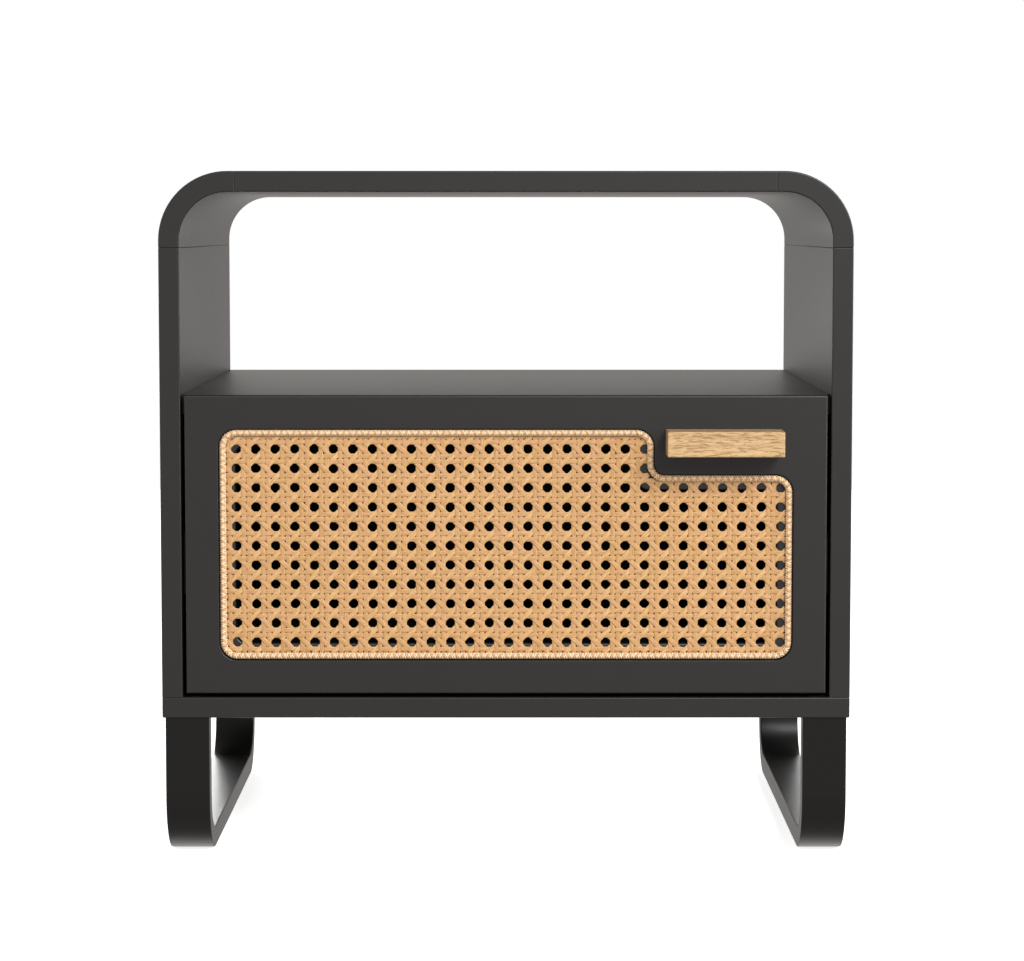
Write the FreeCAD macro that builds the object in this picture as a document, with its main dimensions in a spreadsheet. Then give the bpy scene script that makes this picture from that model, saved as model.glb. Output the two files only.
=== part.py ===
import FreeCAD, Part
import math
import os
import re

import Sketcher
from FreeCAD import Placement, Rotation, Vector

# A nightstand: a lacquered board carcass with rounded upper corners and an open niche,
# one drawer with a cane panel in its front, and two legs bent from flat bars.
# X runs across the front, Y from the front to the back, Z up. The origin is on the floor,
# in the middle of the whole piece with its handle.

doc = FreeCAD.newDocument("nightstand")

sizes = {
    # carcass
    "width": 500,
    "depth": 400,
    "height": 500,
    "board": 15,               # thickness of every carcass board
    "corner_radius": 50,       # outside of the rounded upper corners
    "corner_tangent": 5,       # straight run from a corner's arc to its seam
    "underside": 104,          # floor to the bottom panel
    "shelf_height": 339,       # floor to the niche's floor
    "arris": 1,                # rounding of the boards' long edges
    "seam_arris": 0.6,         # small rounding on both sides of a seam
    "back_board": 5,
    "back_inset": 22,          # back panel to the carcass's back edge
    "groove_depth": 5,
    "groove_clearance": 0.5,   # free room at the bottom of a groove
    # legs
    "leg_width": 32,
    "leg_board": 15,
    "leg_inset": 2,
    "leg_bend": 45,            # outside radius of a leg's bends
    "glide_radius": 9,
    "glide_board": 2.5,
    "glide_proud": 0.5,        # how far a glide stands below its leg
    "glide_from_bend": 14,
    # carcass fasteners
    "dowel_radius": 3,
    "dowel_half": 14,          # how far a dowel goes into each piece
    "dowel_edge": 45,          # outer dowels to the front and back edges
    "hole_clearance": 0.1,
    "bolt_radius": 3,
    "bolt_reach": 24,          # how far a leg bolt goes into the leg
    "bolt_head_radius": 6,
    "bolt_head_height": 3,
    "bolt_from_side": 9,       # leg bolt to the side panel's inner face
    "leg_dowel_from_edge": 8,  # leg dowel to the leg's outer edge
    "leg_dowel_up": 10,        # how far it goes into the bottom panel
    "insert_radius": 4.8,
    "insert_height": 15,
    "screw_radius": 2.5,
    "screw_length": 50,
    "screw_head_radius": 3.5,
    "screw_head_height": 8,
    "screw_edge": 65,          # outer side screws to the front and back edges
    "cam_radius": 7.5,
    "cam_height": 12.2,
    "cam_setback": 30,         # cam's centre to the joint
    "cam_bolt_radius": 3.4,
    "cam_bolt_grip": 11,       # how far a cam bolt goes into the other board
    "cam_edge": 70,            # shelf cams to the front and back edges
    "shelf_dowel_edge": 110,
    # drawer front
    "front_board": 15,
    "front_gap": 2.6,          # gap at each side of the drawer front
    "front_lift": 2.8,         # gap under it
    "front_clearance": 1,      # between the drawer front and the shelf's front edge
    "front_arris": 1.6,
    "window_arris": 0.6,
    "ledge_arris": 2,          # rounding of the through opening's front edge
    "window_margin": 24.3,     # drawer front's edge to the window
    "window_radius": 13.2,
    "notch_width": 100.5,
    "notch_height": 33,
    "notch_radius": 7.6,
    "rebate": 5,               # depth of the ledge that holds the cane
    "ledge": 12.2,
    "ledge_radius": 8,
    "cane_board": 1.8,
    "cane_gap": 0.4,
    "cane_pitch": 14.08,
    "cane_hole": 6.8,          # across the flats of one opening
    "cane_shift_x": 1.9,       # middle column of openings to the window's middle
    "cane_shift_z": -1,
    "cane_edge": 1.2,          # least web between an opening and the cane's edge
    "trim_gap": 0.6,
    "trim_width": 4.5,
    "trim_height": 3,
    # handle
    "handle_reach": 30,
    "handle_width": 83.7,
    "handle_height": 18.2,
    "handle_from_side": 9,     # handle to the window's right edge
    "handle_from_top": 0.3,
    "handle_edge": 0.8,
    "handle_spacing": 64,
    "handle_screw_radius": 2,
    "handle_screw_reach": 11,
    "handle_head_radius": 4,
    "handle_head_height": 2.4,
    "handle_insert_radius": 3,
    # drawer box
    "slide_gap": 12.7,         # side panel to drawer side, filled by the runners
    "box_board": 12,
    "box_length": 350,
    "box_lift": 12,            # drawer front's lower edge to the drawer sides
    "box_height": 155,
    "box_bottom_lift": 10,
    "bottom_board": 5,
    "front_cam_radius": 6,
    "front_cam_height": 9.5,
    "front_cam_setback": 24,
    "front_cam_inset": 28,     # drawer side's upper and lower edges to the cams
    "front_bolt_radius": 2.5,
    "front_dowel_inset": 48,
    "front_dowel_reach": 9,    # how far a dowel or cam bolt goes into the drawer front
    "box_screw_radius": 2,
    "box_screw_length": 40,
    "box_screw_head": 3.6,
    "box_screw_inset": 30,
    # runners
    "slide_length": 350,
    "slide_setback": 3,        # drawer front to the runners' front ends
    "slide_middle_height": 215,
    "slide_sheet": 1.2,
    "outer_half": 22.5,
    "outer_flange": 9.6,
    "middle_half": 18,
    "middle_start": 4.2,
    "middle_flange": 6.6,
    "inner_half": 13.5,
    "inner_flange": 6.1,
    "cage_sheet": 0.4,
    "cage_length": 150,
    "cage_bore": 1,            # how far a ball's hole is cut beyond its centre
    "outer_cage_start": 3.3,
    "outer_cage_reach": 9,
    "inner_cage_start": 5.8,
    "inner_cage_reach": 11,
    "ball_radius": 1.5,
    "ball_pitch": 20,
    "ball_clearance": 0.15,
    "outer_ball_line": 7.4,    # side panel to the balls' centres
    "inner_ball_line": 8.8,
    "slide_screw_radius": 1.8,
    "slide_screw_grip": 10,
    "slide_screw_head": 3.6,
    "slide_screw_head_height": 1.6,
    "slide_screw_edge": 30,
}

sheet = doc.addObject("Spreadsheet::Sheet", "Sizes")
for line, (word, number) in enumerate(sizes.items(), 1):
    sheet.set(f"A{line}", word)
    sheet.set(f"B{line}", str(number))
    sheet.setAlias(f"B{line}", word)
doc.recompute()

# Places that several pieces share, worked out from the sizes.
place_formulas = {
    "front": "(handle_reach - depth) / 2",
    "back": "(handle_reach + depth) / 2",
    "half": "width / 2",
    "inner_x": "half - board",
    "seam_x": "half - corner_radius - corner_tangent",
    "seam_z": "height - corner_radius - corner_tangent",
    "floor_z": "underside + board",
    "shelf_z": "shelf_height - board",
    "shelf_front": "front + front_board + front_clearance",
    "back_z": "back - back_inset",
    "leg_out": "half - leg_inset",
    "leg_in": "leg_out - leg_width",
    "leg_bolt_x": "inner_x - bolt_from_side",
    "leg_dowel_x": "leg_out - leg_dowel_from_edge",
    "side_mid": "half - board / 2",
    "front_x": "inner_x - front_gap",
    "front_low": "floor_z + front_lift",
    "front_rear": "front + front_board",
    "window_x": "front_x - window_margin",
    "window_low": "front_low + window_margin",
    "window_top": "shelf_height - window_margin",
    "notch_x": "window_x - notch_width",
    "notch_z": "window_top - notch_height",
    "cane_back": "front + rebate",
    "cane_front": "cane_back - cane_board",
    "handle_right": "window_x - handle_from_side",
    "handle_left": "handle_right - handle_width",
    "handle_top": "window_top - handle_from_top",
    "handle_low": "handle_top - handle_height",
    "box_out": "inner_x - slide_gap",
    "box_in": "box_out - box_board",
    "box_low": "front_low + box_lift",
    "box_top": "box_low + box_height",
    "box_back": "front_rear + box_length",
    "box_bottom": "box_low + box_bottom_lift",
    "slide_front": "front_rear + slide_setback",
    "outer_balls": "(outer_half - slide_sheet + middle_half) / 2",
    "inner_balls": "(middle_half - slide_sheet + inner_half) / 2",
    "cage_front": "slide_front + (slide_length - cage_length) / 2",
}


def full(formula):
    """A formula whose bare names are put on the object that holds them."""
    def owner(match):
        word = match.group(0)
        holder = "Sizes" if word in sizes else "Places"
        return f"{holder}.{word}"
    return re.sub(r"[a-z]\w*", owner, formula)


places = doc.addObject("App::VarSet", "Places")
for word, formula in place_formulas.items():
    places.addProperty("App::PropertyFloat", word)
    places.setExpression(word, full(formula))
places.addProperty("App::PropertyFloat", "present")
doc.recompute()


def size(word):
    """The present number of a size or a place."""
    return float(getattr(sheet if word in sizes else places, word))


def number(formula):
    """The present number of any formula of the named sizes."""
    places.setExpression("present", full(formula))
    places.recompute()
    return places.present


def bind(thing, **formulas):
    """Tie properties of a document object to formulas of the named sizes."""
    for name, formula in formulas.items():
        thing.setExpression(name, full(formula))


def move(thing, x=None, y=None, z=None):
    """Tie an object's place to formulas."""
    for axis, formula in zip("xyz", (x, y, z)):
        if formula is not None:
            thing.setExpression(f"Placement.Base.{axis}", full(formula))


nodes = {}


def keep(name, thing):
    """Name a finished piece; its label also names its file."""
    thing.Label = name
    nodes[name] = thing
    return thing


# ---------------------------------------------------------------- shapes

def origin_plane(body, role):
    return next(plane for plane in body.Origin.OriginFeatures if plane.Role == role)


def outline(body, plane, sides, radii):
    """A closed sketch of lines square to each other, fully constrained.

    The sides are formulas, across and up in turn, for where each line lies. A radius rounds
    the corner at the end of the side with the same count.
    """
    sketch = body.newObject("Sketcher::SketchObject", body.Name + "_outline")
    sketch.AttachmentSupport = [(origin_plane(body, plane), "")]
    sketch.MapMode = "FlatFace"
    count = len(sides)
    lies = [number(side) for side in sides]
    corners = []
    for i in range(count):
        across, up = (i, (i + 1) % count) if i % 2 == 0 else ((i + 1) % count, i)
        corners.append(Vector(lies[across], lies[up], 0))
    heads = [(corners[i] - corners[i - 1]).normalize() for i in range(count)]
    rounding = [number(radius) if radius else 0.0 for radius in radii]
    for i in range(count):
        start = corners[i - 1] + heads[i] * rounding[i - 1]
        end = corners[i] - heads[i] * rounding[i]
        sketch.addGeometry(Part.LineSegment(start, end), False)
        upright = i % 2 == 0
        sketch.addConstraint(Sketcher.Constraint("Vertical" if upright else "Horizontal", i))
        kind = "DistanceX" if upright else "DistanceY"
        datum = sketch.addConstraint(Sketcher.Constraint(kind, -1, 1, i, 1, lies[i]))
        sketch.setExpression(f"Constraints[{datum}]", full(sides[i]))
    for i in range(count):
        after = (i + 1) % count
        if not radii[i]:
            sketch.addConstraint(Sketcher.Constraint("Coincident", i, 2, after, 1))
            continue
        radius = rounding[i]
        centre = corners[i] - heads[i] * radius + heads[after] * radius
        turns_left = heads[i].cross(heads[after]).z > 0
        first = -heads[after] if turns_left else heads[i]
        begin = math.atan2(first.y, first.x)
        circle = Part.Circle(centre, Vector(0, 0, 1), radius)
        arc = sketch.addGeometry(Part.ArcOfCircle(circle, begin, begin + math.pi / 2), False)
        near, far = (1, 2) if turns_left else (2, 1)
        sketch.addConstraint(Sketcher.Constraint("Tangent", i, 2, arc, near))
        sketch.addConstraint(Sketcher.Constraint("Tangent", arc, far, after, 1))
        datum = sketch.addConstraint(Sketcher.Constraint("Radius", arc, radius))
        sketch.setExpression(f"Constraints[{datum}]", full(radii[i]))
    return sketch


def padded(name, plane, sides, radii, thick, start):
    """A body made by padding an outline: along -Y from start on XZ, along +X from start on YZ."""
    body = doc.addObject("PartDesign::Body", name + "_blank")
    sketch = outline(body, plane, sides, radii)
    pad = body.newObject("PartDesign::Pad", name + "_pad")
    pad.Profile = sketch
    bind(pad, Length=thick)
    if plane == "XZ_Plane":
        move(body, y=start)
    else:
        move(body, x=start)
    doc.recompute()
    return body


def eased(body, kind, amount, chosen):
    """Round or bevel the edges of a body that the given test picks."""
    tip = body.Tip
    names = [f"Edge{i}" for i, edge in enumerate(tip.Shape.Edges, 1) if chosen(edge)]
    feature = body.newObject("PartDesign::" + kind, body.Name + "_" + kind.lower())
    feature.Base = (tip, names)
    bind(feature, **{"Radius" if kind == "Fillet" else "Size": amount})
    doc.recompute()


def lengths(edge):
    box = edge.BoundBox
    return box.XLength, box.YLength, box.ZLength


def runs_along(axis):
    """A test that picks the straight edges along one axis."""
    def chosen(edge):
        extents = lengths(edge)
        others = [extent for i, extent in enumerate(extents) if i != "xyz".index(axis)]
        return extents["xyz".index(axis)] > 0.01 and max(others) < 0.01
    return chosen


def lies_at(axis, *levels):
    """A test that picks the edges lying flat in a plane square to an axis."""
    def chosen(edge):
        index = "xyz".index(axis)
        middle = edge.BoundBox.Center[index]
        return lengths(edge)[index] < 0.01 and any(abs(middle - level) < 0.01 for level in levels)
    return chosen


def block(name, x, y, z):
    """A plain board or a cutter: each range is a pair of formulas."""
    piece = doc.addObject("Part::Box", name)
    for side, (low, high) in zip(("Length", "Width", "Height"), (x, y, z)):
        bind(piece, **{side: f"({high}) - ({low})"})
    move(piece, x[0], y[0], z[0])
    return piece


turns = {
    "x": Rotation(Vector(0, 1, 0), 90),
    "y": Rotation(Vector(1, 0, 0), -90),
    "z": Rotation(),
}


def turned(name, axis, line, steps):
    """A turned piece: round steps end to end on a line along one axis.

    line holds the formulas of the other two coordinates. A step is where it starts and ends,
    and its radius, or its two radii where it tapers.
    """
    made = []
    for low, high, *radius in steps:
        taper = len(radius) == 2
        step = doc.addObject("Part::Cone" if taper else "Part::Cylinder", name + "_step")
        if taper:
            bind(step, Radius1=radius[0], Radius2=radius[1])
        else:
            bind(step, Radius=radius[0])
        bind(step, Height=f"({high}) - ({low})")
        step.Placement = Placement(Vector(), turns[axis])
        base = list(line)
        base.insert("xyz".index(axis), low)
        move(step, *base)
        made.append(step)
    return made[0] if len(made) == 1 else fused(name, made)


def fused(name, pieces):
    whole = doc.addObject("Part::MultiFuse", name + "_whole")
    whole.Shapes = pieces
    whole.Refine = True
    return whole


def group(name, pieces):
    """Separate solids that share one node."""
    several = doc.addObject("Part::Compound", name + "_set")
    several.Links = pieces
    return several


def cut(name, base, cutters):
    """A piece with the cutters' room taken out."""
    piece = doc.addObject("Part::Cut", name + "_cut")
    piece.Base = base
    piece.Tool = cutters[0] if len(cutters) == 1 else group(name + "_cutters", cutters)
    return piece


def sided(sign, near, far):
    """A range across X, given from the middle outwards, on the right (+1) or the left (-1)."""
    return (near, far) if sign > 0 else (f"-({far})", f"-({near})")


def signed(sign, formula):
    return formula if sign > 0 else f"-({formula})"


hands = (("left", -1), ("right", 1))
ends = ("front + {0}", "(front + back) / 2", "back - ({0})")   # front, middle and back of a row


def row(word, middle=True):
    """Places from front to back, the outer ones a named size from the edges."""
    return [place.format(word) for place in ends if middle or place != ends[1]]


# ---------------------------------------------------------------- carcass fasteners

def dowels(name, axis, lines, joint, near, far):
    """Dowels across a joint, and the holes for them."""
    pegs = []
    holes = []
    for line in lines:
        reach = (f"{joint} - {near}", f"{joint} + {far}")
        pegs.append(turned(name, axis, line, [(*reach, "dowel_radius")]))
        deep = (f"{reach[0]} - hole_clearance", f"{reach[1]} + hole_clearance")
        holes.append(turned(name + "_hole", axis, line, [(*deep, "dowel_radius + hole_clearance")]))
    return pegs, holes


def corner_joints():
    """Dowels through the seams: along X into the top panel, along Z into the sides."""
    top = {}
    side = {}
    top_pegs = []
    side_pegs = []
    for hand, sign in hands:
        lines = [(y, "height - board / 2") for y in row("dowel_edge")]
        pegs, top[hand] = dowels("top_dowels", "x", lines, signed(sign, "seam_x"), "dowel_half", "dowel_half")
        top_pegs += pegs
        lines = [(signed(sign, "side_mid"), y) for y in row("dowel_edge")]
        pegs, side[hand] = dowels("side_dowels", "z", lines, "seam_z", "dowel_half", "dowel_half")
        side_pegs += pegs
    keep("top_dowels", group("top_dowels", top_pegs))
    keep("side_dowels", group("side_dowels", side_pegs))
    return top, side


def side_screws():
    """Long screws from below, through the bottom panel and up into the sides' ends."""
    screws = []
    holes = {}
    for hand, sign in hands:
        holes[hand] = []
        for y in row("screw_edge"):
            line = (signed(sign, "side_mid"), y)
            low = "underside"
            neck = "underside + screw_head_height"
            tip = "underside + screw_length"
            steps = [(low, neck, "screw_head_radius"), (neck, tip, "screw_radius")]
            screws.append(turned("side_screws", "z", line, steps))
            wide = [
                (low, neck, "screw_head_radius + hole_clearance"),
                (neck, tip + " + hole_clearance", "screw_radius + hole_clearance"),
            ]
            holes[hand].append(turned("side_screw_hole", "z", line, wide))
    keep("side_screws", group("side_screws", screws))
    return holes


def leg_joints():
    """A bolt into a threaded insert and a dowel beside it at the top of each leg's two ends."""
    bolts = []
    inserts = []
    pegs = []
    panel_holes = []
    leg_holes = {}
    for hand, sign in hands:
        leg_holes[hand] = []
        for y in row("leg_inset + leg_board / 2", middle=False):
            line = (signed(sign, "leg_bolt_x"), y)
            tip = "underside - bolt_reach"
            neck = "floor_z - bolt_head_height"
            seat = "underside - insert_height"
            steps = [(tip, neck, "bolt_radius"), (neck, "floor_z", "bolt_radius", "bolt_head_radius")]
            bolts.append(turned("leg_bolts", "z", line, steps))
            bore = [(seat, "underside", "bolt_radius + hole_clearance")]
            sleeve = turned("leg_inserts_sleeve", "z", line, [(seat, "underside", "insert_radius")])
            inserts.append(cut("leg_inserts", sleeve, [turned("leg_inserts_bore", "z", line, bore)]))
            wide = [
                ("underside", neck, "bolt_radius + hole_clearance"),
                (neck, "floor_z", "bolt_radius + hole_clearance", "bolt_head_radius + hole_clearance"),
            ]
            panel_holes.append(turned("leg_bolt_hole", "z", line, wide))
            deep = [
                (tip + " - hole_clearance", seat, "bolt_radius + hole_clearance"),
                (seat, "underside", "insert_radius + hole_clearance"),
            ]
            leg_holes[hand].append(turned("leg_insert_hole", "z", line, deep))
            beside = [(signed(sign, "leg_dowel_x"), y)]
            found, holes = dowels("leg_dowels", "z", beside, "underside", "dowel_half", "leg_dowel_up")
            pegs += found
            panel_holes += holes
            leg_holes[hand] += holes
    keep("leg_bolts", group("leg_bolts", bolts))
    keep("leg_inserts", group("leg_inserts", inserts))
    keep("leg_dowels", group("leg_dowels", pegs))
    return panel_holes, leg_holes


def shelf_joints():
    """Cams in the shelf's underside that pull on bolts in the sides, with dowels beside them."""
    cams = []
    bolts = []
    pegs = []
    shelf_holes = []
    side_holes = {}
    middle = "shelf_z + board / 2"
    for hand, sign in hands:
        side_holes[hand] = []
        for y in row("cam_edge", middle=False):
            line = (signed(sign, "inner_x - cam_setback"), y)
            across = sided(sign, "inner_x - cam_setback - cam_bolt_radius", "inner_x + cam_bolt_grip")
            top = "shelf_z + cam_height"
            shaft = turned("shelf_cam_bolts", "x", (y, middle), [(*across, "cam_bolt_radius")])
            bolts.append(shaft)
            drum = turned("shelf_cams_drum", "z", line, [("shelf_z", top, "cam_radius")])
            room = [(*across, "cam_bolt_radius + hole_clearance")]
            wide = turned("shelf_cam_bolt_room", "x", (y, middle), room)
            cams.append(cut("shelf_cams", drum, [wide]))
            bore = [("shelf_z", top + " + hole_clearance", "cam_radius + hole_clearance")]
            shelf_holes += [turned("shelf_cam_hole", "z", line, bore), wide]
            side_holes[hand].append(wide)
        lines = [(y, middle) for y in row("shelf_dowel_edge", middle=False)]
        into = ("dowel_half", "cam_bolt_grip") if sign > 0 else ("cam_bolt_grip", "dowel_half")
        found, holes = dowels("shelf_dowels", "x", lines, signed(sign, "inner_x"), *into)
        pegs += found
        shelf_holes += holes
        side_holes[hand] += holes
    keep("shelf_cams", group("shelf_cams", cams))
    keep("shelf_cam_bolts", group("shelf_cam_bolts", bolts))
    keep("shelf_dowels", group("shelf_dowels", pegs))
    return shelf_holes, side_holes


# ---------------------------------------------------------------- carcass

def carcass(slide_holes):
    """The top, two rounded corners, two sides, the bottom, the shelf, the back and the legs."""
    top_holes, side_top_holes = corner_joints()
    screw_holes = side_screws()
    panel_holes, leg_holes = leg_joints()
    shelf_holes, side_shelf_holes = shelf_joints()

    under_top = "height - board"
    sides = ["-seam_x", under_top, "seam_x", "height"]
    body = padded("top_panel", "XZ_Plane", sides, [None] * 4, "depth", "back")
    eased(body, "Fillet", "arris", runs_along("x"))
    eased(body, "Fillet", "seam_arris", lies_at("x", -size("seam_x"), size("seam_x")))
    keep("top_panel", cut("top_panel", body, top_holes["left"] + top_holes["right"]))

    # The back panel stands in a groove round the drawer's compartment.
    groove = "groove_depth + groove_clearance"
    behind = ("back_z - back_board", "back_z")
    groove_room = block(
        "back_groove",
        (f"-(inner_x + {groove})", f"inner_x + {groove}"),
        behind,
        (f"floor_z - ({groove})", f"shelf_z + {groove}"),
    )
    keep("back_panel", block(
        "back_panel_board",
        ("-(inner_x + groove_depth)", "inner_x + groove_depth"),
        behind,
        ("floor_z - groove_depth", "shelf_z + groove_depth"),
    ))

    for hand, sign in hands:
        sides = ["half", "height", "seam_x", under_top, "inner_x", "seam_z"]
        sides = [signed(sign, side) if i % 2 == 0 else side for i, side in enumerate(sides)]
        radii = ["corner_radius", None, None, "corner_radius - board", None, None]
        body = padded("corner_" + hand, "XZ_Plane", sides, radii, "depth", "back")
        rims = lies_at("y", 0, -size("depth"))
        eased(body, "Fillet", "arris", lambda edge: rims(edge) and abs(edge.Length - size("board")) > 0.01)
        ends_at = (lies_at("x", sign * size("seam_x")), lies_at("z", size("seam_z")))
        eased(body, "Fillet", "seam_arris", lambda edge: any(at(edge) for at in ends_at))
        keep("corner_" + hand, cut("corner_" + hand, body, top_holes[hand] + side_top_holes[hand]))

        across = sided(sign, "inner_x", "half")
        sides = [across[0], "floor_z", across[1], "seam_z"]
        body = padded("side_" + hand, "XZ_Plane", sides, [None] * 4, "depth", "back")
        eased(body, "Fillet", "arris", runs_along("z"))
        eased(body, "Fillet", "seam_arris", lies_at("z", size("seam_z")))
        holes = side_top_holes[hand] + screw_holes[hand] + side_shelf_holes[hand]
        holes += slide_holes[hand] + [groove_room]
        keep("side_" + hand, cut("side_" + hand, body, holes))

    sides = ["-half", "underside", "half", "floor_z"]
    body = padded("bottom_panel", "XZ_Plane", sides, [None] * 4, "depth", "back")
    eased(body, "Fillet", "arris", lambda edge: True)
    holes = panel_holes + screw_holes["left"] + screw_holes["right"] + [groove_room]
    keep("bottom_panel", cut("bottom_panel", body, holes))

    sides = ["-inner_x", "shelf_z", "inner_x", "shelf_height"]
    body = padded("shelf", "XZ_Plane", sides, [None] * 4, "back - shelf_front", "back")
    rear = lies_at("y", 0)
    eased(body, "Fillet", "arris", lambda edge: rear(edge) and runs_along("x")(edge))
    upper = lies_at("z", size("shelf_height"))
    eased(body, "Fillet", "seam_arris", lambda edge: upper(edge) and runs_along("y")(edge))
    keep("shelf", cut("shelf", body, shelf_holes + [groove_room]))

    legs(leg_holes)


def legs(holes):
    """A flat bar bent to a U on each side, with two glides let into its underside."""
    glides = []
    for hand, sign in hands:
        outer_low = "glide_proud"
        inner_low = "glide_proud + leg_board"
        front = "front + leg_inset"
        back = "back - leg_inset"
        sides = [front, outer_low, back, "underside", back + " - leg_board", inner_low]
        sides += [front + " + leg_board", "underside"]
        inside = "leg_bend - leg_board"
        radii = ["leg_bend", "leg_bend", None, None, inside, inside, None, None]
        low, high = sided(sign, "leg_in", "leg_out")
        body = padded("leg_" + hand, "YZ_Plane", sides, radii, "leg_width", low)
        ends_at = lies_at("z", size("underside"))
        rims = lies_at("x", 0, size("leg_width"))
        eased(body, "Fillet", "arris", lambda edge: rims(edge) and not ends_at(edge))
        pockets = []
        for y in row("leg_inset + leg_bend + glide_from_bend", middle=False):
            line = (f"({low} + {high}) / 2", y)
            disc = [("0", "glide_board", "glide_radius")]
            room = [("0", "glide_board", "glide_radius + hole_clearance")]
            glides.append(turned("leg_glides", "z", line, disc))
            pockets.append(turned("leg_glide_hole", "z", line, room))
        keep("leg_" + hand, cut("leg_" + hand, body, holes[hand] + pockets))
    keep("leg_glides", group("leg_glides", glides))


# ---------------------------------------------------------------- drawer

def window_sides(inset):
    """The window's outline drawn in by an inset: a rectangle with one corner notched out."""
    return [
        f"-(window_x - ({inset}))", f"window_low + {inset}", f"window_x - ({inset})",
        f"notch_z - ({inset})", f"notch_x - ({inset})", f"window_top - ({inset})",
    ]


def window_radii(radius, notch_radius):
    return [radius, radius, radius, notch_radius, radius, radius]


def window_solid(name, inset, thick, start):
    radii = window_radii(f"window_radius - ({inset})", f"notch_radius + {inset}")
    return padded(name, "XZ_Plane", window_sides(inset), radii, thick, start)


def sink(body, name, sides, radii, deep):
    """A pocket from the front face of a board padded on XZ, as deep as the formula says."""
    sketch = outline(body, "XZ_Plane", sides, radii)
    sketch.setExpression("AttachmentOffset.Base.z", full("front_board"))
    pocket = body.newObject("PartDesign::Pocket", name)
    pocket.Profile = sketch
    bind(pocket, Length=deep)
    doc.recompute()


def place_of(edge):
    """An edge's middle and length, to tell it from others."""
    middle = edge.BoundBox.Center
    return tuple(round(value, 2) for value in (middle.x, middle.y, middle.z, edge.Length))


def drawer_front(holes):
    sides = ["-front_x", "front_low", "front_x", "shelf_height"]
    body = padded("drawer_front", "XZ_Plane", sides, [None] * 4, "front_board", "front_rear")
    face = lies_at("y", -size("front_board"))
    eased(body, "Fillet", "front_arris", face)
    sink(body, "rebate_pocket", window_sides("0"), window_radii("window_radius", "notch_radius"), "rebate")
    floor = lies_at("y", size("rebate") - size("front_board"))
    known = {place_of(edge) for edge in body.Tip.Shape.Edges if floor(edge)}
    sink(body, "opening", window_sides("ledge"), window_radii("ledge_radius", "notch_radius"), "front_board")
    eased(body, "Fillet", "ledge_arris", lambda edge: floor(edge) and place_of(edge) not in known)
    margin = size("window_margin") / 2
    inside = size("front_x") - margin

    def window_rim(edge):
        middle = edge.BoundBox.Center
        level = size("front_low") + margin < middle.z < size("shelf_height") - margin
        return face(edge) and abs(middle.x) < inside and level

    eased(body, "Fillet", "window_arris", window_rim)
    keep("drawer_front", cut("drawer_front", body, holes))


def octagon(x, z, y):
    """One opening of the webbing: a regular octagon standing on a flat, in the plane at y."""
    reach = size("cane_hole") / 2 / math.cos(math.pi / 8)
    corners = [math.pi / 8 + math.pi / 4 * k for k in range(9)]
    return Part.makePolygon([Vector(x + reach * math.cos(a), y, z + reach * math.sin(a)) for a in corners])


def cane_panel():
    """The sheet of webbing: every opening of the grid that lies within the sheet's edge."""
    blank = window_solid("cane_panel", "cane_gap", "cane_board", "cane_back")
    front = size("cane_front")
    face = next(face for face in blank.Shape.Faces
                if abs(face.BoundBox.YMax - front) < 0.001 and face.BoundBox.YLength < 0.001)
    pitch = size("cane_pitch")
    edge = size("cane_hole") / 2 + size("cane_edge") + size("cane_gap")
    middle_x = size("cane_shift_x")
    middle_z = (size("window_low") + size("window_top")) / 2 + size("cane_shift_z")
    reach = size("window_x") - edge
    low = size("window_low") + edge
    top = size("window_top") - edge
    span_x = int(size("window_x") // pitch) + 1
    span_z = int((size("window_top") - size("window_low")) // pitch)
    openings = []
    for i in range(-span_x, span_x + 1):
        for k in range(-span_z, span_z + 1):
            x = middle_x + i * pitch
            z = middle_z + k * pitch
            notched = x > size("notch_x") - edge and z > size("notch_z") - edge
            if abs(x) <= reach and low <= z <= top and not notched:
                openings.append(octagon(x, z, front))
    sheet_face = Part.makeFace([face.OuterWire] + openings, "Part::FaceMakerBullseye")
    panel = doc.addObject("Part::Feature", "cane_panel")
    panel.Shape = sheet_face.extrude(Vector(0, size("cane_board"), 0))
    keep("cane_panel", panel)


def cane_trim():
    """A flat band over the webbing's edge."""
    outer = window_solid("cane_trim", "trim_gap", "trim_height", "cane_front")
    inner = window_solid("cane_trim_inside", "trim_gap + trim_width", "trim_height", "cane_front")
    keep("cane_trim", cut("cane_trim", outer, [inner]))


def handle():
    """A square bar end-on to the drawer front, held by two screws from behind."""
    sides = ["handle_left", "handle_low", "handle_right", "handle_top"]
    body = padded("drawer_handle", "XZ_Plane", sides, [None] * 4, "handle_reach", "front")
    rear = lies_at("y", 0)
    eased(body, "Fillet", "handle_edge", lambda edge: not rear(edge))
    screws = []
    inserts = []
    front_holes = []
    handle_holes = []
    level = "(handle_low + handle_top) / 2"
    tip = "front - handle_screw_reach"
    for side in ("-", "+"):
        line = (f"(handle_left + handle_right) / 2 {side} handle_spacing / 2", level)
        head = ("front_rear", "front_rear + handle_head_height", "handle_head_radius")
        shank = (tip, "front_rear", "handle_screw_radius")
        screws.append(turned("handle_screws", "y", line, [shank, head]))
        bore = (tip, "front", "handle_screw_radius + hole_clearance")
        sleeve = turned("handle_inserts_sleeve", "y", line, [(tip, "front", "handle_insert_radius")])
        inserts.append(cut("handle_inserts", sleeve, [turned("handle_inserts_bore", "y", line, [bore])]))
        room = (tip + " - hole_clearance", "front", "handle_insert_radius + hole_clearance")
        handle_holes.append(turned("handle_insert_hole", "y", line, [room]))
        through = ("front", "front_rear", "handle_screw_radius + hole_clearance")
        front_holes.append(turned("handle_screw_hole", "y", line, [through]))
    keep("drawer_handle", cut("drawer_handle", body, handle_holes))
    keep("handle_screws", group("handle_screws", screws))
    keep("handle_inserts", group("handle_inserts", inserts))
    return front_holes


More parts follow.
